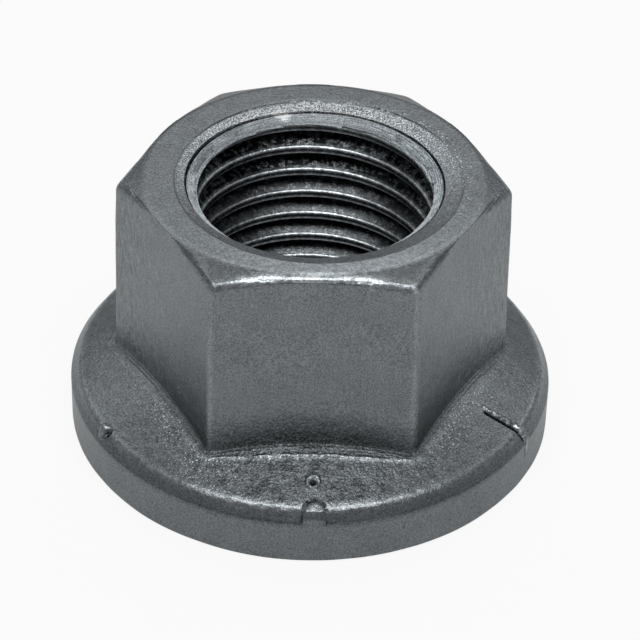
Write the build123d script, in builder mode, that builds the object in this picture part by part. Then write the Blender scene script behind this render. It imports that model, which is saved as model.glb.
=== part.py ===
from build123d import *
from math import radians, sqrt, tan
import os

os.makedirs("parts", exist_ok=True)

# A hot-forged flange nut: a hexagon that rises, with a little draft, out of a sloping collar.
# It is one piece of steel. Lengths are in millimetres and angles in degrees.
# The origin is the centre of the bearing face, and +Z runs up the thread's axis.

# Thread: metric fine. The bore is the thread's minor diameter, at the crests.
thread_diameter = 12.0
thread_pitch = 1.25

# Hexagon: two of its corners lie on the X axis, so a flat faces -Y.
nut_height = 13.2
wall_at_flats = 2.0      # steel between the thread's major radius and the middle of a flat
hexagon_draft = 1.1      # lean of each flat, which lets the blank out of its die
corner_radius = 0.35     # rounding of the six upright edges

# Top chamfer: a turned cone that takes the corners off the hexagon.
chamfer_angle = 25.0
chamfer_inset = 0.1      # how far the land's edge lies inside the middle of a flat
land_edge_radius = 0.25  # rounding where the land runs into the chamfer

# Collar: a rim, and a cone that climbs from the rim to the hexagon.
collar_overhang = 2.05   # collar beyond the hexagon's corners
rim_height = 2.65
collar_slope = 25.0
rim_top_radius = 0.6
rim_bottom_chamfer = 0.25
foot_radius = 0.35       # fillet between the flats and the collar

# Mouth of the thread: a shallow forged recess, with a turned lead-in cone inside it.
recess_margin = 0.55     # recess beyond the thread's major radius
recess_slope = 20.0
recess_width = 0.65
lead_in_slope = 42.0

# The countersink at the bearing face.
underside_margin = 0.3
underside_slope = 30.0


def rise(run, slope):
    """Height gained along a radial run on a cone of that slope."""
    return run * tan(radians(slope))


def from_axis(point):
    """Distance of a point from the thread's axis."""
    return sqrt(point.X**2 + point.Y**2)


# Sizes that follow from the ones above. The spanner size, across the flats, is taken at the
# rim's height, where the drafted hexagon is widest.
thread_radius = thread_diameter / 2
sharp_thread_height = thread_pitch * sqrt(3) / 2
minor_radius = thread_radius - 5 / 8 * sharp_thread_height

across_flats = thread_diameter + 2 * wall_at_flats
top_across_flats = across_flats - 2 * (nut_height - rim_height) * tan(radians(hexagon_draft))
hexagon_corner_radius = across_flats / sqrt(3)
land_radius = top_across_flats / 2 - chamfer_inset

collar_radius = hexagon_corner_radius + collar_overhang
cone_run = collar_radius - thread_radius

recess_radius = thread_radius + recess_margin
lead_in_radius = recess_radius - recess_width
recess_floor = nut_height - rise(recess_width, recess_slope)
bore_top = recess_floor - rise(lead_in_radius - minor_radius, lead_in_slope)

underside_radius = thread_radius + underside_margin
bore_bottom = rise(underside_radius - minor_radius, underside_slope)

with BuildPart() as flange_nut:
    # The collar, turned about the thread's axis, with a rounded rim and a chamfered bearing face.
    with BuildSketch(Plane.XZ) as collar_section:
        with BuildLine():
            Polyline(
                (0, 0),
                (collar_radius, 0),
                (collar_radius, rim_height),
                (thread_radius, rim_height + rise(cone_run, collar_slope)),
                (0, rim_height + rise(cone_run, collar_slope)),
                close=True,
            )
        make_face()
        rim = collar_section.vertices().group_by(Axis.X)[-1].sort_by(Axis.Y)
        fillet(rim[-1], radius=rim_top_radius)
        chamfer(rim[0], length=rim_bottom_chamfer)
    revolve(axis=Axis.Z)

    # The hexagon, lofted from its section at the rim's height to the smaller one at the top.
    for height, width in ((rim_height, across_flats), (nut_height, top_across_flats)):
        with BuildSketch(Plane.XY.offset(height)) as hexagon:
            RegularPolygon(radius=width / 2, side_count=6, major_radius=False)
            fillet(hexagon.vertices(), radius=corner_radius)
    loft(ruled=True)

    # The fillet at the hexagon's foot follows the seam where flats and corners meet the cone.
    collar_cone = flange_nut.faces().filter_by(GeomType.CONE).sort_by(SortBy.AREA)[-1]
    seam = collar_cone.edges().filter_by(lambda edge: from_axis(edge @ 0.5) < hexagon_corner_radius)
    fillet(seam, radius=foot_radius)

    # The chamfer: the ring outside the cone is turned away.
    with BuildSketch(Plane.XZ):
        with BuildLine():
            Polyline(
                (land_radius, nut_height),
                (collar_radius, nut_height),
                (collar_radius, nut_height - rise(collar_radius - land_radius, chamfer_angle)),
                close=True,
            )
        make_face()
    revolve(axis=Axis.Z, mode=Mode.SUBTRACT)
    land = flange_nut.faces().sort_by(Axis.Z)[-1]
    fillet(land.outer_wire().edges(), radius=land_edge_radius)

    # The bore, its two-step mouth and the countersink below.
    with BuildSketch(Plane.XZ):
        with BuildLine():
            Polyline(
                (0, 0),
                (underside_radius, 0),
                (minor_radius, bore_bottom),
                (minor_radius, bore_top),
                (lead_in_radius, recess_floor),
                (recess_radius, nut_height),
                (0, nut_height),
                close=True,
            )
        make_face()
    revolve(axis=Axis.Z, mode=Mode.SUBTRACT)

flange_nut.part.label = "flange_nut"
export_step(flange_nut.part, "parts/flange_nut.step")

print(f"thread M{thread_diameter:g} x {thread_pitch:g}, minor radius {minor_radius:.3f}")
print(f"bore wall from {bore_bottom:.3f} to {bore_top:.3f}")
print(f"collar diameter {2 * collar_radius:.3f}, land diameter {2 * land_radius:.3f}")
print(f"volume {flange_nut.part.volume:.1f} mm3")
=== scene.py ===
# %% [markdown]
# # A forged flange nut
#
# The part is one piece of steel: a hexagon that was forged out of a round collar, then turned at
# its mouth and tapped. The CAD model has its true sizes and a plain bore. This lesson makes the
# surface that you see: the helical thread, the forged skin, the marks on the collar and the dark
# phosphate finish. Everything is in metres, in the CAD model's own frame.

# %% Load the frame
import bpy
import math
import numpy as np
from mathutils import Matrix, Vector, noise


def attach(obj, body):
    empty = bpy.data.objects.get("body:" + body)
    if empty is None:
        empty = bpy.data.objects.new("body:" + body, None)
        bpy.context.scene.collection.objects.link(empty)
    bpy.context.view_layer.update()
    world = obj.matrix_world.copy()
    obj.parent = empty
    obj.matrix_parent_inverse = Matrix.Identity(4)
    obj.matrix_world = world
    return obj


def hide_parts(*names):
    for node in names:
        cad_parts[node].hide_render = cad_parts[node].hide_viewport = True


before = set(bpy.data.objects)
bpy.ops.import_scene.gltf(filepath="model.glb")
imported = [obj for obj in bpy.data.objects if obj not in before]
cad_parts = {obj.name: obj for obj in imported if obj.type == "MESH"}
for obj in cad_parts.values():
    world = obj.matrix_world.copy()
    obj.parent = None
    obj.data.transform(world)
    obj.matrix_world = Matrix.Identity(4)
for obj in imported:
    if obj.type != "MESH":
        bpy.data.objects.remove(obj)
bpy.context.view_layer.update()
MM = 0.001

# %% [markdown]
# ## Camera
#
# The nut is seen from 36 degrees above its bearing face, a little to the left of one flat, with a
# long lens, so that parallel edges stay nearly parallel. A camera that is aimed at a point and then
# rolled a degree is easier to adjust than three raw angles.

# %% Camera
CAMERA_PLACE = Vector((-1.568, -107.752, 86.118)) * MM
CAMERA_AIM = Vector((0.453, 2.443, 3.260)) * MM
CAMERA_ROLL = 1.41
LENS = 162.2

view = CAMERA_AIM - CAMERA_PLACE
camera_data = bpy.data.cameras.new("camera")
camera_data.lens = LENS
camera_data.sensor_width = 36.0
camera_data.clip_start = 0.01
camera = bpy.data.objects.new("camera", camera_data)
bpy.context.collection.objects.link(camera)
camera.matrix_world = (
    Matrix.Translation(CAMERA_PLACE)
    @ view.to_track_quat("-Z", "Y").to_matrix().to_4x4()
    @ Matrix.Rotation(math.radians(CAMERA_ROLL), 4, "Z")
)
bpy.context.scene.camera = camera
print("camera right", [round(v, 4) for v in camera.matrix_world.col[0][:3]])

# %% [markdown]
# ## Node helpers
#
# A material is mostly arithmetic on masks. Written as expressions it is short: this class wraps a
# socket, so that `1 - mask` or `a * b` adds the Math nodes by itself.


# %% Node helpers
class Wire:
    """A node's output that can be used in sums. `tree` is the node tree it lives in."""

    def __init__(self, tree, socket):
        self.tree, self.socket = tree, socket

    def math(self, operation, *others, clamp=False):
        return node(self.tree, "ShaderNodeMath", self, *others, operation=operation, use_clamp=clamp)

    def __add__(self, other):
        return self.math("ADD", other)

    def __sub__(self, other):
        return self.math("SUBTRACT", other)

    def __mul__(self, other):
        return self.math("MULTIPLY", other)

    def __truediv__(self, other):
        return self.math("DIVIDE", other)

    def __rsub__(self, other):
        return node(self.tree, "ShaderNodeMath", other, self, operation="SUBTRACT")

    __radd__, __rmul__ = __add__, __mul__

    def ramp(self, low, high, to_low=0.0, to_high=1.0):
        """Runs smoothly from to_low to to_high while this value goes from low to high."""
        return node(self.tree, "ShaderNodeMapRange", self, low, high, to_low, to_high,
                    interpolation_type="SMOOTHSTEP")


def node(tree, kind, *inputs, out=0, **settings):
    """Adds a node, sets it, and feeds its sockets in order with values or other nodes' outputs.
    A settings key that names a socket, with _ for a space, feeds that socket."""
    made = tree.nodes.new(kind)
    sockets = {s.name.replace(" ", "_"): s for s in made.inputs}
    for key, value in settings.items():
        if key not in sockets:
            setattr(made, key, value)
    sockets = {s.name.replace(" ", "_"): s for s in made.inputs}
    feeds = [(made.inputs[i], value) for i, value in enumerate(inputs)]
    feeds += [(sockets[key], value) for key, value in settings.items() if key in sockets]
    for socket, value in feeds:
        if isinstance(value, Wire):
            tree.links.new(value.socket, socket)
        elif value is not None:
            socket.default_value = value
    return Wire(tree, made.outputs[out])


def new_material(name):
    """An empty node material, and its output node."""
    material = bpy.data.materials.new(name)
    material.use_nodes = True
    material.node_tree.nodes.clear()
    return material, material.node_tree, material.node_tree.nodes.new("ShaderNodeOutputMaterial")


def select_only(*objects):
    """Selects these objects and nothing else, with the first one active."""
    bpy.ops.object.select_all(action="DESELECT")
    for item in objects:
        item.select_set(True)
    bpy.context.view_layer.objects.active = objects[0]


# %% [markdown]
# ## Stage and light
#
# Small steel parts are photographed in a white tent: the floor and the sides glow, and only the
# side where the camera stands is darker. So the floor is pale, two tall panels stand left and
# right, a wide one hangs behind the nut, and the world between them is a dim grey.

# %% Floor
select_only(camera)
bpy.ops.mesh.primitive_plane_add(size=1.6)
floor = bpy.context.object
floor.name = "floor"
paper, tree, output = new_material("white paper")
rays = tree.nodes.new("ShaderNodeLightPath")
camera_ray = Wire(tree, rays.outputs["Is Camera Ray"])
matt = node(tree, "ShaderNodeBsdfDiffuse", Color=(0.86, 0.86, 0.86, 1.0))
glow = node(tree, "ShaderNodeEmission", Color=(1.0, 1.0, 1.0, 1.0), Strength=1.0)
shown = node(tree, "ShaderNodeMixShader", camera_ray * 0.77 + 0.13, matt, glow)
tree.links.new(shown.socket, output.inputs["Surface"])
floor.data.materials.append(paper)

# %% World
world = bpy.data.worlds.new("studio")
bpy.context.scene.world = world
world.use_nodes = True
tree = world.node_tree
tree.nodes.clear()
rays = tree.nodes.new("ShaderNodeLightPath")
WORLD_GREY = 0.24
dim = node(tree, "ShaderNodeBackground", Color=(0.97, 0.985, 1.0, 1.0), Strength=WORLD_GREY)
white = node(tree, "ShaderNodeBackground", Color=(1.0, 1.0, 1.0, 1.0), Strength=1.0)
sky = node(tree, "ShaderNodeMixShader", Wire(tree, rays.outputs["Is Camera Ray"]), dim, white)
tree.links.new(sky.socket, tree.nodes.new("ShaderNodeOutputWorld").inputs["Surface"])


# %% Lamps
def panel(name, place, aim, size, power):
    """A soft light: a rectangle of this size in metres, aimed at a point."""
    data = bpy.data.lights.new(name, "AREA")
    data.shape = "RECTANGLE"
    data.size, data.size_y = size
    data.energy = power
    lamp = bpy.data.objects.new(name, data)
    bpy.context.collection.objects.link(lamp)
    lamp.location = place
    lamp.rotation_euler = (Vector(aim) - Vector(place)).to_track_quat("-Z", "Y").to_euler()
    return lamp


NUT_MIDDLE = (0.0, 0.0, 0.006)
panel("key panel", (0.0, -0.125, 0.305), NUT_MIDDLE, (0.34, 0.10), 0.44)
panel("back panel", (0.0, 0.25, 0.305), NUT_MIDDLE, (0.80, 0.24), 0.60)

# %% [markdown]
# ## The forged blank
#
# In the forge a round billet is pressed into a die that gives it the hexagon. The mesh is made the
# same way: one half-section is drawn and spun into a round blank, then each column of vertices is
# pressed to the section that the nut has at that angle. Stacking a cylinder on a cone and joining
# them would be quicker, but the fillet at the hexagon's foot would then have to be bevelled along
# a seam that changes its angle all the way round.

# %% Sizes of the blank, in millimetres, as in the CAD model
NUT_HEIGHT = 13.2
ACROSS_FLATS = 16.0
DRAFT = math.tan(math.radians(1.1))
CORNER_RADIUS = 0.33
CHAMFER_SLOPE = math.tan(math.radians(25))
LAND_RADIUS = 7.70
COLLAR_RADIUS = ACROSS_FLATS / math.sqrt(3) + 2.05
RIM_HEIGHT = 2.65
COLLAR_SLOPE = math.tan(math.radians(25))
SHOULDER_RUN = 0.40      # the bevel between the collar's cone and its side
FOOT_RADIUS = 0.16
RECESS_CENTRE, RECESS_RADIUS = (0.20, -0.15), 6.56   # pressed a little off the hexagon's centre
RECESS_SLOPE = math.tan(math.radians(15))
CORE_RADIUS = 4.9        # the pierced core of the blank, before it is tapped
PIN_ANGLE, BAR_ANGLE, NIB_ANGLE = -149.0, -30.0, -89.1   # marks on the collar, in degrees


def flat_distance(z):
    """From the axis to the middle of a flat, at a height."""
    return ACROSS_FLATS / 2 - (z - RIM_HEIGHT) * DRAFT


def bump_at(angle, middle, half_width):
    """A smooth hump, 1 at the middle angle and 0 beyond the half width."""
    off = np.abs((angle - middle + 180.0) % 360.0 - 180.0) / half_width
    return np.where(off < 1, np.cos(np.minimum(off, 1) * np.pi / 2) ** 2, 0.0)


def hexagon_radius(angle, z):
    """Radius of the rounded hexagon at an angle in degrees and a height."""
    off = np.radians(np.abs((angle + 30.0) % 60.0 - 30.0))        # from the nearest corner
    rounding = CORNER_RADIUS + 0.42 * bump_at(angle, -60, 30) + 0.12 * bump_at(angle, -120, 30)
    apothem = flat_distance(z)
    flat = apothem / np.cos(np.pi / 6 - off)
    centre = (apothem - rounding) / math.cos(math.pi / 6)
    edge = centre * np.cos(off) + np.sqrt(np.maximum(rounding**2 - (centre * np.sin(off)) ** 2, 0))
    tangent = np.arctan2(rounding / 2, centre + rounding * math.cos(math.pi / 6))
    return np.where(off < tangent, edge, flat)


def arch(angle, middle, half_width):
    """A round arch, 1 at the middle angle and 0 from the half width on."""
    off = ((angle - middle + 180.0) % 360.0 - 180.0) / half_width
    return np.sqrt(np.maximum(1 - off**2, 0))


def recess_radius(angle):
    """From the hexagon's axis to the recess's edge, which is a circle beside that axis."""
    x, y = RECESS_CENTRE
    turn = np.radians(angle)
    along, across = x * np.cos(turn) + y * np.sin(turn), x * np.sin(turn) - y * np.cos(turn)
    return along + np.sqrt(RECESS_RADIUS**2 - across**2)


def land_radius(angle):
    """Radius of the land's edge, worn back a little at the front."""
    return LAND_RADIUS - 0.20 * bump_at(angle, -90, 40)


def cone_height(radius):
    """Height of the collar's cone at a radius."""
    return RIM_HEIGHT + (COLLAR_RADIUS - radius) * COLLAR_SLOPE


def wander(angle, size, seed):
    """Smooth noise from -1 to 1 along the angle, with lumps of this size in degrees."""
    return np.array([noise.noise(Vector((math.cos(t), math.sin(t), seed)) * 57.3 / size) for t in np.radians(angle)])


print("hexagon radius at corner and flat", hexagon_radius(np.array([0.0, 30.0]), NUT_HEIGHT))

# %% [markdown]
# The section is a chain of straight runs with rounded corners. Each corner is drawn as a circular
# arc, and the same number of points is used at every angle, so that the points line up in rows.


# %% Section of the blank
def section(angle):
    """Corners of the half-section at each angle, as (radius, height, rounding) columns,
    and how many pieces each run and each arc is divided into."""
    one = np.ones_like(angle)
    top = NUT_HEIGHT
    # where the chamfer leaves the flat, and where the flat meets the collar's cone
    z_edge = np.full_like(angle, top - 0.5)
    z_foot = np.full_like(angle, 4.0)
    for _ in range(12):
        z_edge = top - (hexagon_radius(angle, z_edge) - land_radius(angle)) * CHAMFER_SLOPE
        z_foot = cone_height(hexagon_radius(angle, z_foot))
    foot = hexagon_radius(angle, z_foot)
    corner = np.exp(-((((angle + 30) % 60 - 30) / 8) ** 2))
    ridge = foot + 0.56 - 0.18 * corner
    crest = (0.012 + 0.085 * bump_at(angle, -88, 52)) * np.clip(0.75 + 1.1 * wander(angle, 2.4, 3.0), 0.1, 1.3)
    nib = arch(angle, NIB_ANGLE, 2.9)
    run = SHOULDER_RUN * (1 - 0.3 * nib)
    behind = bump_at(angle, 92, 110)
    mouth = recess_radius(angle) + (0.01 + 0.03 * behind) * wander(angle, 2.0, 5.0)
    step = 0.03 + 0.06 * behind
    outer = hexagon_radius(angle, z_edge)
    turn_room = (outer - land_radius(angle)) / 0.906 - 0.6 * math.tan(math.radians(12.5))
    edge_rounding = np.clip(1.25 * turn_room, 0.04, 0.55)
    corners = [
        (CORE_RADIUS * one, top - 0.6, 0.0, 0),
        (5.5 * one, top - step - (mouth - 5.5) * RECESS_SLOPE, 0.1, 2),
        (mouth - 0.06, top - step, 0.03, 2),
        (mouth, top, 0.04, 3),
        (land_radius(angle), top, 0.6, 5),
        (outer, z_edge, edge_rounding, 7),
        (foot, z_foot, FOOT_RADIUS, 6),
        (ridge - 0.15, cone_height(ridge - 0.15), 0.0, 0),
        (ridge, cone_height(ridge) + crest, 0.06, 3),
        (ridge + 0.15, cone_height(ridge + 0.15), 0.0, 0),
        (COLLAR_RADIUS - run, cone_height(COLLAR_RADIUS - run), 0.6 * (1 - 0.7 * nib), 7),
        (COLLAR_RADIUS * one, RIM_HEIGHT - run, 0.18, 4),
        (COLLAR_RADIUS * one, 0.0, 0.28, 4),
        (CORE_RADIUS * one, 0.0, 0.0, 0),
        (CORE_RADIUS * one, top - 0.6, 0.0, 0),
    ]
    runs = [3, 8, 1, 8, 4, 42, 5, 2, 2, 26, 5, 9, 6, 4]
    return corners, runs


def section_rows(angle):
    """The section's points at each angle: an array of rows by angles by (radius, height)."""
    corners, runs = section(angle)
    points = [np.stack(np.broadcast_arrays(c[0], c[1] * np.ones_like(angle)), -1) for c in corners]
    rows, start = [], points[0]
    for i in range(1, len(points)):
        back = points[i - 1] - points[i]
        back /= np.linalg.norm(back, axis=-1, keepdims=True)
        rounding, pieces = corners[i][2], corners[i][3]
        arc = []
        end = points[i]
        if pieces:
            ahead = points[i + 1] - points[i]
            ahead /= np.linalg.norm(ahead, axis=-1, keepdims=True)
            turn = np.pi - np.arccos(np.clip((back * ahead).sum(-1), -1, 1))
            reach = (rounding * np.tan(turn / 2))[..., None]
            weight = np.cos(turn / 2)[..., None]
            end = points[i] + back * reach
            last = points[i] + ahead * reach
            for q in np.arange(1, pieces + 1) / pieces:
                a, b, c = (1 - q) ** 2, 2 * q * (1 - q) * weight, q**2
                arc.append((a * end + b * points[i] + c * last) / (a + b + c))
        for q in np.arange(runs[i - 1]) / runs[i - 1]:
            rows.append(start + (end - start) * q)
        rows += [end] + arc[:-1] if pieces else []
        start = arc[-1] if arc else points[i]
    return np.array(rows)


# %% [markdown]
# Columns of vertices are closer together where the shape changes fastest: at the hexagon's six
# corners and at the three marks.

# %% Column angles
COLUMNS = 480
fine = np.linspace(0.0, 360.0, 7201)
density = 1.0 + 2.6 * np.exp(-(((fine + 30) % 60 - 30) / 2.4) ** 2)
for middle, width in ((PIN_ANGLE, 2.0), (BAR_ANGLE, 2.6), (NIB_ANGLE, 4.0)):
    density += 4.0 * np.exp(-(((fine - middle + 180) % 360 - 180) / width) ** 2)
filled = np.concatenate([[0], np.cumsum((density[1:] + density[:-1]) / 2)])
column_angles = np.interp(np.arange(COLUMNS) / COLUMNS * filled[-1], filled, fine)
print("columns", COLUMNS, "closest", round(float(np.diff(column_angles).min()), 3), "degrees")

# %% Spin the round blank
template = section_rows(np.zeros(1))[:, 0, :]
mesh = bpy.data.meshes.new("blank")
edges = [(i, (i + 1) % len(template)) for i in range(len(template))]
mesh.from_pydata([(r * MM, 0.0, z * MM) for r, z in template], edges, [])
nut = bpy.data.objects.new("flange_nut_dressed", mesh)
bpy.context.collection.objects.link(nut)
select_only(nut)
bpy.ops.object.mode_set(mode="EDIT")
bpy.ops.mesh.select_all(action="SELECT")
bpy.ops.mesh.spin(steps=COLUMNS, angle=math.tau, center=(0, 0, 0), axis=(0, 0, 1), use_auto_merge=True)
bpy.ops.mesh.select_all(action="SELECT")
bpy.ops.mesh.remove_doubles(threshold=1e-7)
bpy.ops.mesh.normals_make_consistent(inside=False)
bpy.ops.object.mode_set(mode="OBJECT")
print("round blank", len(nut.data.vertices), "vertices,", len(nut.data.polygons), "faces")


# %% Press the hexagon
def get_places(item):
    """The object's vertices, in millimetres."""
    flat = np.empty(len(item.data.vertices) * 3)
    item.data.vertices.foreach_get("co", flat)
    return flat.reshape(-1, 3) / MM


def set_places(item, places):
    item.data.vertices.foreach_set("co", (places * MM).ravel())
    item.data.update()


places = get_places(nut)
column = np.rint(np.degrees(np.arctan2(places[:, 1], places[:, 0])) / 360 * COLUMNS).astype(int) % COLUMNS
radius = np.hypot(places[:, 0], places[:, 1])
gap = (radius[:, None] - template[:, 0]) ** 2 + (places[:, 2][:, None] - template[:, 1]) ** 2
row = gap.argmin(axis=1)
print("rows matched within", float(np.sqrt(gap.min(axis=1)).max()), "mm")
pressed = section_rows(column_angles)
turn = np.radians(column_angles[column])
r, z = pressed[row, column, 0], pressed[row, column, 1]
places = np.stack([r * np.cos(turn), r * np.sin(turn), z], axis=1)
set_places(nut, places)

# %% [markdown]
# ## Forged skin and marks
#
# No die is perfect: the faces wander by a few hundredths of a millimetre, the foot of the hexagon is
# pitted where scale was pressed in, and a broken ridge runs round it where the die's edge has worn.
# On the collar stand a pin and a bar, which together tell the strength class as hands on a clock
# would, and a small nib at the rim. These are large enough to be shape and not only shading.


# %% Shape the skin
def cloud(points, size, seed=0.0):
    """Smooth noise from -1 to 1 with lumps of this size in millimetres."""
    shift = Vector((seed, seed * 1.7, seed * 0.6))
    return np.array([noise.noise(Vector(p) / size + shift) for p in points])


angle = column_angles[column]
outside = (places[:, 2] > 0.05) & (np.hypot(places[:, 0], places[:, 1]) > CORE_RADIUS + 0.01)
radial = np.stack([np.cos(turn), np.sin(turn), np.zeros_like(turn)], axis=1)
normals = np.empty(len(nut.data.vertices) * 3)
nut.data.vertices.foreach_get("normal", normals)
normals = normals.reshape(-1, 3)

z_foot = np.full_like(column_angles, 4.0)
for _ in range(12):
    z_foot = cone_height(hexagon_radius(column_angles, z_foot))
foot_height = z_foot[column]
foot_reach = hexagon_radius(angle, foot_height)
above = places[:, 2] - foot_height
beyond = r - foot_reach

lift = 0.030 * cloud(places, 4.0) + 0.010 * cloud(places, 1.1, 3.0)
lift *= np.clip((13.3 - places[:, 2]) / 0.6, 0.1, 1)
lift -= 0.008 * (places[:, 2] > 12.9)
# pitted band on the flats, just above the foot
band = np.exp(-((above - 0.75) / 0.55) ** 2) * (beyond < 0.1)
lift -= 0.018 * band * np.clip(cloud(places, 0.24, 5.0) * 2.5, -0.3, 1)
# small pits and lumps all over the collar's cone, largest on the side that met the die first
cone = np.clip((beyond - 0.7) / 0.2, 0, 1) * (places[:, 2] > 2.6)
coarse = 0.35 + 0.65 * bump_at(angle, -95, 75)
lift += 0.010 * cone * coarse * np.clip(cloud(places, 0.30, 13.0) * 2.2, -1, 1)
# rough recess between the land and the turned mouth
recess = (places[:, 2] > 12.5) * (r < recess_radius(angle) - 0.03) * (r > CORE_RADIUS + 0.05)
lift += 0.010 * recess * cloud(places, 0.20, 9.0)

on_collar = (beyond > 0.2) & (places[:, 2] > 1.5)


def stroke(start, end, width):
    """1 on the line between two (radius, angle) points and 0 beyond its width, on the collar."""
    a, b = (np.array([q * math.cos(math.radians(t)), q * math.sin(math.radians(t))]) for q, t in (start, end))
    along = np.clip(((places[:, :2] - a) @ (b - a)) / ((b - a) @ (b - a) + 1e-9), 0, 1)
    off = np.linalg.norm(places[:, :2] - a - along[:, None] * (b - a), axis=1) / width
    return np.where(off < 1, (1 - off**2) ** 2, 0.0) * on_collar


broken = np.clip(0.9 + 1.3 * cloud(places, 0.16, 11.0), 0.1, 1.6)
# the pin: a dot with a hole beside it
lift += 0.16 * stroke((10.85, PIN_ANGLE - 1.0), (10.86, PIN_ANGLE - 1.0), 0.30)
lift -= 0.22 * stroke((10.86, PIN_ANGLE + 1.0), (10.87, PIN_ANGLE + 1.0), 0.20)
# the bar: a groove whose far lip stands up
lip = stroke((9.15, -30.3), (11.15, -27.7), 0.20) * broken
lift += 0.08 * lip - 0.20 * stroke((9.35, -31.2), (11.2, -28.9), 0.115)
# a small crater with a raised lip
crater = np.hypot(places[:, 0] - 9.71 * math.cos(math.radians(-89.4)), places[:, 1] - 9.71 * math.sin(math.radians(-89.4)))
ring = np.exp(-(((crater - 0.25) / 0.09) ** 2)) * on_collar
lift += 0.06 * ring - 0.16 * np.exp(-((crater / 0.15) ** 2)) * on_collar
# the nib: an arch at the rim, outlined by a fine groove
across = np.radians((angle - NIB_ANGLE + 180) % 360 - 180) * r
up = places[:, 2] - RIM_HEIGHT + 0.4 + COLLAR_RADIUS - r
from_arch = np.hypot(across / 0.56, np.maximum(up - 0.5, 0) / 1.1) - 1
outline = np.exp(-((from_arch * 0.62 / 0.06) ** 2)) * (up > -0.15) * on_collar * np.clip(broken, 0.4, 1)
lift += 0.04 * np.clip(-from_arch * 4, 0, 1) * (up > -0.15) * on_collar - 0.09 * outline
places += normals * (lift * outside)[:, None]
limit = COLLAR_RADIUS - 0.006
far = np.hypot(places[:, 0], places[:, 1])
places[:, :2] *= np.minimum(1, limit / np.maximum(far, 1e-6))[:, None]
places[:, 2] = np.clip(places[:, 2], 0, NUT_HEIGHT)
set_places(nut, places)
print("skin between", round(float(lift.min()), 3), "and", round(float(lift.max()), 3), "mm")

# %% [markdown]
# ## Thread and turned mouth
#
# The thread is cut as in the workshop: a tap is made, and what it sweeps is taken out of the blank.
# A Screw modifier winds one pitch of the thread's profile into the tap. Before that a turning tool
# opens both ends, a little off the hexagon's centre, which leaves the streaked ring at the mouth. Its
# brightness is partly painted light, stronger at its sides.

# %% Make the tap
PITCH = 1.25
MAJOR_RADIUS, MINOR_RADIUS = 6.0, 5.323
BORE_SHIFT = (0.06, 0.0)
THREAD_START, THREAD_END = -3.0, 12.45
TAP_TURNS = 16
TAP_STEPS = 96
# one pitch of the space between two crests, from a crest's top corner up to the next crest
half_crest, half_root = PITCH / 8, PITCH / 16
flank = PITCH / 2 - half_crest - half_root
profile = [
    (MINOR_RADIUS - 0.015, 0.0),
    (MINOR_RADIUS, 0.05),
    (MINOR_RADIUS + 0.015, half_crest - 0.035),
    (MINOR_RADIUS + 0.05, half_crest + 0.027),
    (MINOR_RADIUS + 0.10, half_crest + 0.058),
    (MINOR_RADIUS + 0.225, half_crest + 0.128),
    (MINOR_RADIUS + 0.255, half_crest + 0.165),
    (MAJOR_RADIUS - 0.04, half_crest + flank - 0.02),
    (MAJOR_RADIUS, half_crest + flank + 0.03),
    (MAJOR_RADIUS, PITCH - half_crest - flank - 0.03),
    (MAJOR_RADIUS - 0.04, PITCH - half_crest - flank + 0.02),
    (MINOR_RADIUS + 0.06, PITCH - half_crest - 0.035),
    (MINOR_RADIUS + 0.015, PITCH - half_crest + 0.035),
    (MINOR_RADIUS, PITCH - 0.05),
    (MINOR_RADIUS - 0.015, PITCH),
]
mesh = bpy.data.meshes.new("tap")
mesh.from_pydata([(x * MM, 0, (y + THREAD_START) * MM) for x, y in profile], [(i, i + 1) for i in range(len(profile) - 1)], [])
tap = bpy.data.objects.new("tap", mesh)
bpy.context.collection.objects.link(tap)
select_only(tap)
screw = tap.modifiers.new("screw", "SCREW")
screw.axis = "Z"
screw.angle = math.tau
screw.screw_offset = PITCH * MM
screw.iterations = TAP_TURNS
screw.steps = screw.render_steps = TAP_STEPS
screw.use_merge_vertices = True
screw.merge_threshold = 1e-7
bpy.ops.object.modifier_apply(modifier=screw.name)
bpy.ops.object.mode_set(mode="EDIT")
bpy.ops.mesh.select_all(action="SELECT")
bpy.ops.mesh.remove_doubles(threshold=2e-7)
bpy.ops.mesh.select_all(action="SELECT")
bpy.ops.mesh.bisect(plane_co=(0, 0, THREAD_END * MM), plane_no=(0, 0, 1), clear_outer=True)
bpy.ops.object.mode_set(mode="OBJECT")
print("tap", len(tap.data.vertices), "vertices before it is closed")


# %% Close the tap's two ends
def close_ends(item):
    """Closes each open rim with a fan of triangles to a point on the axis."""
    import bmesh
    work = bmesh.new()
    work.from_mesh(item.data)
    open_edges = [e for e in work.edges if e.is_boundary]
    middle = sum(v.co.z for e in open_edges for v in e.verts) / (2 * len(open_edges))
    for is_top in (False, True):
        rim = [e for e in open_edges if (sum(v.co.z for v in e.verts) / 2 > middle) == is_top]
        heights = [v.co.z for e in rim for v in e.verts]
        tip = work.verts.new((0, 0, sum(heights) / len(heights)))
        for e in rim:
            work.faces.new((e.verts[0], e.verts[1], tip))
    bmesh.ops.recalc_face_normals(work, faces=work.faces)
    print(item.name, "open edges left", sum(e.is_boundary for e in work.edges), "volume", work.calc_volume() / MM**3)
    work.to_mesh(item.data)
    work.free()


close_ends(tap)


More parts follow.
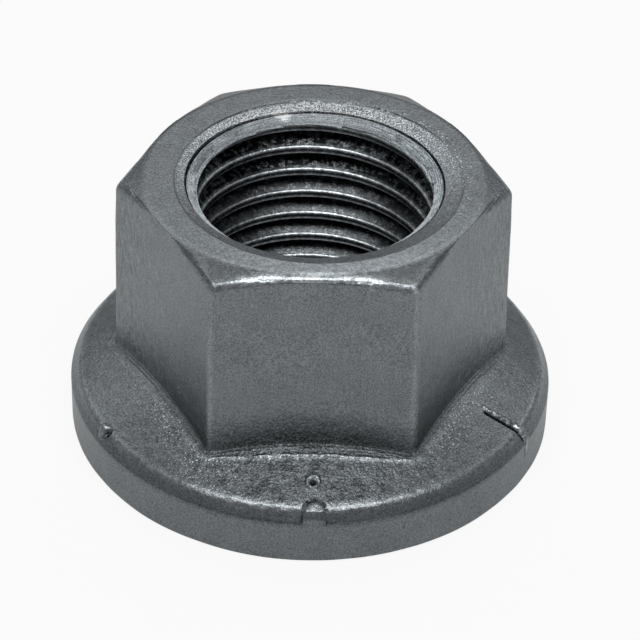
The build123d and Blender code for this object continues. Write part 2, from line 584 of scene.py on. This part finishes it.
# %% Turning tools for the mouth and the underside
def turned(name, half_section, steps=128):
    """A closed solid spun from (radius, height) points that start and end on the axis."""
    made = bpy.data.meshes.new(name)
    made.from_pydata([(x * MM, 0, y * MM) for x, y in half_section],
                     [(i, i + 1) for i in range(len(half_section) - 1)], [])
    item = bpy.data.objects.new(name, made)
    bpy.context.collection.objects.link(item)
    select_only(item)
    bpy.ops.object.mode_set(mode="EDIT")
    bpy.ops.mesh.select_all(action="SELECT")
    bpy.ops.mesh.spin(steps=steps, angle=math.tau, center=(0, 0, 0), axis=(0, 0, 1), use_auto_merge=True)
    bpy.ops.mesh.select_all(action="SELECT")
    bpy.ops.mesh.remove_doubles(threshold=1e-6)
    bpy.ops.mesh.normals_make_consistent(inside=False)
    bpy.ops.object.mode_set(mode="OBJECT")
    return item


MOUTH_SHIFT = (0.03, -0.10)
CONE_END, CONE_SLOPE = 12.46, math.tan(math.radians(42))
cone_steps = [(q, CONE_END + (q - MINOR_RADIUS) * CONE_SLOPE) for q in np.linspace(MINOR_RADIUS - 0.3, 5.79, 9)]
mouth_tool = turned("mouth tool", [
    (0, CONE_END - 0.3 * CONE_SLOPE),
    *cone_steps,
    (5.80, CONE_END + (5.62 - MINOR_RADIUS) * CONE_SLOPE),
    (5.88, CONE_END + (5.64 - MINOR_RADIUS) * CONE_SLOPE),
    (5.90, CONE_END + (5.92 - MINOR_RADIUS) * CONE_SLOPE),
    (5.92, 13.6),
    (0, 13.6),
], steps=240)
SINK_RADIUS, SINK_SLOPE = 6.3, math.tan(math.radians(30))
sink_steps = [(q, (SINK_RADIUS - q) * SINK_SLOPE) for q in np.linspace(SINK_RADIUS, 5.0, 9)]
foot_tool = turned("foot tool", [(0, -1.0), (SINK_RADIUS + 1.0 / SINK_SLOPE, -1.0), *sink_steps, (0, 0.8)])
for item, shift in ((tap, BORE_SHIFT), (mouth_tool, MOUTH_SHIFT), (foot_tool, BORE_SHIFT)):
    item.data.transform(Matrix.Translation((shift[0] * MM, shift[1] * MM, 0)) @ Matrix.Rotation(0.023, 4, "Z"))


# %% Cut
def cut(item, tool):
    """Takes the tool's solid out of the item, and deletes the tool."""
    select_only(item)
    boolean = item.modifiers.new("cut", "BOOLEAN")
    boolean.operation = "DIFFERENCE"
    boolean.solver = "EXACT"
    boolean.object = tool
    bpy.ops.object.modifier_apply(modifier=boolean.name)
    bpy.data.objects.remove(tool)
    print("after", item.name, "cut:", len(item.data.vertices), "vertices")


for tool in (mouth_tool, foot_tool, tap):
    cut(nut, tool)
bpy.ops.object.mode_set(mode="EDIT")
bpy.ops.mesh.select_all(action="SELECT")
bpy.ops.mesh.remove_doubles(threshold=2e-8)
bpy.ops.mesh.normals_make_consistent(inside=False)
bpy.ops.mesh.quads_convert_to_tris(quad_method="BEAUTY", ngon_method="BEAUTY")
bpy.ops.object.mode_set(mode="OBJECT")
bpy.ops.object.shade_smooth_by_angle(angle=math.radians(32))
print("finished nut", len(nut.data.vertices), "vertices,", len(nut.data.polygons), "triangles")

# %% [markdown]
# ## Where the skin differs, and where light and shade are painted
#
# Some parts of the skin are darker, rougher or more worn than others, and on some light or shade is
# painted: shade in hollows and at the foot, highlights on edges, glints and sparkles. Each such area
# is a number from 0 to 1 on the vertices, worked out from the place on the nut, and the material reads it.

# %% Masks
def paint(name, values):
    """Stores one number per vertex under this name."""
    layer = nut.data.attributes.new(name, "FLOAT", "POINT")
    layer.data.foreach_set("value", np.ascontiguousarray(values, dtype=np.float32))
    print(name, "covers", round(float(np.mean(values)), 3))


places = get_places(nut)
angle = np.degrees(np.arctan2(places[:, 1], places[:, 0]))
r, z = np.hypot(places[:, 0], places[:, 1]), places[:, 2]
foot_height = np.interp(angle % 360, column_angles, z_foot, period=360)
wall = hexagon_radius(angle, z) - r                       # depth behind the hexagon's wall
on_flats = ((wall < 0.25) & (z > foot_height - 0.1) & (z < 12.9)).astype(float)
facing = bump_at(angle, -90, 62)
paint("flats", on_flats * (0.5 + 1.5 * (bump_at(angle, 180, 42) + bump_at(angle, 0, 42))))
# painted shade on the flats just above the collar, strongest on the side facing the camera
paint("foot", on_flats * np.clip(1 - (z - foot_height) / 2.1, 0, 1) * (0.25 + 0.75 * facing))
from_mouth = np.hypot(places[:, 0] - MOUTH_SHIFT[0], places[:, 1] - MOUTH_SHIFT[1])
in_bore = np.hypot(places[:, 0] - BORE_SHIFT[0], places[:, 1]) - MINOR_RADIUS
inside = (r < 6.15) & (z < 12.4) & (z > 0.8)
torn = np.clip((10.2 - z) / 2, 0, 1) * np.clip(1 - (in_bore - 0.2) / 0.2, 0, 1)
# painted shade inside the thread, darkest in the valleys and less dark near the crests low in the bore
hollow = np.maximum(np.clip((in_bore - 0.05) / 0.08, 0, 1) * (1 - 0.35 * torn), 0.75 * (in_bore < 0.008))
in_groove = (from_mouth > 5.798) & (from_mouth < 5.885) & (z > 12.6) & (z < 12.93)
on_collar = (hexagon_radius(angle, z) - r < -0.2) & (z > 1.5)
hole = stroke((10.86, PIN_ANGLE + 1.0), (10.87, PIN_ANGLE + 1.0), 0.24) + stroke((9.35, -31.2), (11.2, -28.9), 0.12)
# painted shade along the foot of the rim's bevel, strongest at the front
rim_line = np.exp(-(((z - 2.24) / 0.06) ** 2)) * (r > 11.1) * (0.3 + 0.7 * bump_at(angle, -90, 80))
# painted shade in hollows: the thread, the rim's bevel line, the mouth's groove, the pin's hole and the bar's groove
paint("deep", np.maximum.reduce([hollow * inside, 0.55 * rim_line, 0.95 * in_groove, 0.9 * np.clip(1.5 * hole, 0, 1)]))
at_back = bump_at(angle, 98, 120)
# the recess is rough bright metal, painted bright mostly at the back as painted highlight
paint("recess", ((from_mouth > 5.86) & (r < recess_radius(angle) - 0.07) & (z > 12.7)) * (0.10 + 0.90 * at_back))
# painted light: the turned ring is made brighter at its sides than at the back, over its real streaks
paint("turned", ((from_mouth < 5.84) & (z > CONE_END - 0.03) & (z < 13.0) & (in_bore > -0.2)) * (3.6 - 2.3 * at_back))
paint("collar", np.clip((r - hexagon_radius(angle, z)) / 0.3, 0, 1) * (z > 2.5) * (0.3 + 0.7 * bump_at(angle, -95, 70))
      * np.clip((COLLAR_RADIUS - 0.55 - r) / 0.15, 0, 1))
off = np.abs((angle + 30) % 60 - 30)
flat_top = NUT_HEIGHT - (hexagon_radius(angle, z) - land_radius(angle)) * CHAMFER_SLOPE
# painted highlights: bright bands on the foot ridge, the collar's shoulder, the top edge at the front and the thread's
# crest corners, strongest on the side facing the camera
on_ridge = np.exp(-(((r - hexagon_radius(angle, z) - 0.56 + 0.18 * np.exp(-((off / 8) ** 2))) / 0.10) ** 2)) * (z > 3) * (z < 4.6)
on_shoulder = np.exp(-(((r - COLLAR_RADIUS + 0.42) / 0.14) ** 2)) * (z > 2.5)
on_rim = np.exp(-((np.hypot(wall, z - flat_top) / 0.50) ** 4)) * (z > flat_top - 0.10) * (z > 11) * (0.03 + 0.97 * bump_at(angle, -90, 45))
on_crest = np.exp(-(((in_bore - 0.045) / 0.035) ** 2)) * inside
# painted sparkle: bright flecks on the collar beside the hexagon's foot and on the top beside the recess, on the sides
# where they catch the light
near_foot = np.exp(-(((-wall - 0.8) / 0.6) ** 2)) * (z > 2.7) * (z < 4.6) * (bump_at(angle, -128, 38) + 0.8 * bump_at(angle, -42, 38))
near_recess = np.exp(-(((r - recess_radius(angle) - 0.15) / 0.25) ** 2)) * (z > 13.0) * bump_at(angle, 25, 75)
paint("sparkle", np.maximum(near_foot, near_recess))
# painted light: the land is made brighter on the side facing the camera
on_land = (z > NUT_HEIGHT - 0.05) * bump_at(angle, -80, 75)
# painted highlight along the bar's raised lip
on_lip = stroke((9.15, -30.4), (11.2, -28.1), 0.15) * np.clip(0.4 + 2.2 * cloud(places, 0.13, 21.0), 0, 1)
# painted glints: small bright spots on the front edge of the top and on the turned ring behind the hole
glints = sum(np.exp(-(((places[:, 0] - x) ** 2 + (places[:, 1] - y) ** 2) / 0.12**2)) for x, y in (
    (-3.13, -7.56), (2.45, -7.62), (4.32, -7.62), (-1.75, 5.50), (-1.58, 5.60), (-1.42, 5.46), (-1.30, 5.56))) * (z > 12.4)
# painted highlights on edges, lips and spots, with some real wear on the hexagon's corners and the crests
paint("worn", np.maximum.reduce([
    0.16 * on_flats * np.exp(-((off / 0.7) ** 2)), on_ridge * (0.1 + 0.9 * bump_at(angle, -88, 55)), 0.35 * on_shoulder, 1.25 * on_rim, 2.0 * on_crest,
    0.32 * on_land, 1.8 * on_lip, 2.6 * glints]))

# %% [markdown]
# ## Phosphated steel
#
# A phosphate finish is a thin grey crystal layer on the steel, oiled, so it is metal under a fine
# grain. The grain is both a little relief and a little change of tone.

# %% Material
steel, tree, output = new_material("phosphated steel")
coords = tree.nodes.new("ShaderNodeTexCoord")
place = Wire(tree, coords.outputs["Object"])


def mask(name):
    return node(tree, "ShaderNodeAttribute", attribute_name=name, out=2)


def stretched(x, y, z):
    """The place on the nut in millimetres, with each axis scaled."""
    return node(tree, "ShaderNodeVectorMath", place, (x / MM, y / MM, z / MM), operation="MULTIPLY")


def lumps(vector, size, detail, roughness=0.6):
    """Noise from 0 to 1 with lumps of about this size."""
    return node(tree, "ShaderNodeTexNoise", Vector=vector, Scale=1 / size, Detail=detail, Roughness=roughness)


in_mm = stretched(1, 1, 1)
grain = lumps(in_mm, 0.16, 3.0, 0.65)
worms = lumps(in_mm, 0.26, 1.5, 0.5)
patches = lumps(in_mm, 1.6, 4.0)
drawn = lumps(stretched(1, 1, 0.38), 0.20, 3.0)
flats, foot, turned_ring, recess, deep, collar, worn = (
    mask(n) for n in ("flats", "foot", "turned", "recess", "deep", "collar", "worn"))
fine = lumps(in_mm, 0.07, 2.0, 0.7).ramp(0.34, 0.66)
from_axis = node(tree, "ShaderNodeVectorMath", stretched(1, 1, 0), operation="LENGTH", out=1)
round_place = node(tree, "ShaderNodeCombineXYZ", from_axis, patches * 0.3, 0.0)
streaks = lumps(round_place, 0.045, 3.0, 0.7).ramp(0.36, 0.66)
speck = lumps(in_mm, 0.13, 2.0, 0.6).ramp(0.36, 0.64)
# painted shade at the hexagon's foot, mottled
painted_foot_shade = foot.ramp(0.0, 0.9) * (0.5 + 0.5 * speck)
tone = (0.28 + 0.36 * grain + 0.30 * patches + 0.52 * fine) * (1 - 0.72 * painted_foot_shade)
# painted highlights and some real edge wear brighten the colour here
tone = tone * (1 + 2.0 * worn * worms.ramp(0.3, 0.6, 0.35, 1.0))
# painted shade darkens the hollows; painted light makes the turned ring brighter at its sides, over its real streaks
tone = tone * (1 + turned_ring * (1.0 * streaks + 0.12)) * (1 + flats * (drawn - 0.5) * 0.7) * (1 - deep * (0.98 - 0.45 * fine * worms.ramp(0.45, 0.6)))
# bright rough metal in the recess, with painted highlight mostly at the back
tone = tone * (1 + recess * fine * 4.0)
blotch = lumps(in_mm, 0.5, 3.0, 0.7).ramp(0.50, 0.62)
tone = tone * (1 - 0.40 * collar * (1 - speck)) * (1 - 0.45 * collar * blotch)
# painted glints: bright flecks in the sparkle areas; the dark flecks everywhere are random tone
fleck_and_glint_noise = lumps(in_mm, 0.09, 1.0, 0.5)
tone = tone * (1 + 3.0 * mask("sparkle") * fleck_and_glint_noise.ramp(0.62, 0.70)) * (1 - 0.35 * fleck_and_glint_noise.ramp(0.34, 0.26))
# painted highlight on the crater's lip and painted shade in its pit
crater = node(tree, "ShaderNodeVectorMath", stretched(1, 1, 0), (0.102, -9.71, 0.0), operation="DISTANCE", out=1)
tone = tone * (1 + 2.6 * collar * crater.ramp(0.12, 0.19) * (1 - crater.ramp(0.24, 0.32)))
tone = tone * (1 - collar * crater.ramp(0.06, 0.16, 0.8, 0.0))
base = node(tree, "ShaderNodeVectorMath", node(tree, "ShaderNodeCombineXYZ", tone, tone, tone), (0.250, 0.270, 0.282),
            operation="MULTIPLY")
height = grain * 0.022 + patches * 0.02 + speck * collar * 0.016 + drawn * flats * 0.034 + speck * foot * 0.012
height = height + fine * recess * 0.02 + streaks * turned_ring * 0.004 + fine * 0.002
bumps = node(tree, "ShaderNodeBump", Height=height, Strength=1.0, Distance=MM)
rough = 0.22 + 0.2 * grain + 0.20 * turned_ring + 0.08 * recess - 0.08 * deep
shader = node(tree, "ShaderNodeBsdfPrincipled", Metallic=1.0, Base_Color=base, Roughness=rough, Normal=bumps)
tree.links.new(shader.socket, output.inputs["Surface"])
nut.data.materials.clear()
nut.data.materials.append(steel)

# %% [markdown]
# ## Hand over

# %% Hand over
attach(nut, "root")
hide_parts("flange_nut")

bpy.context.scene.view_settings.view_transform = "Standard"
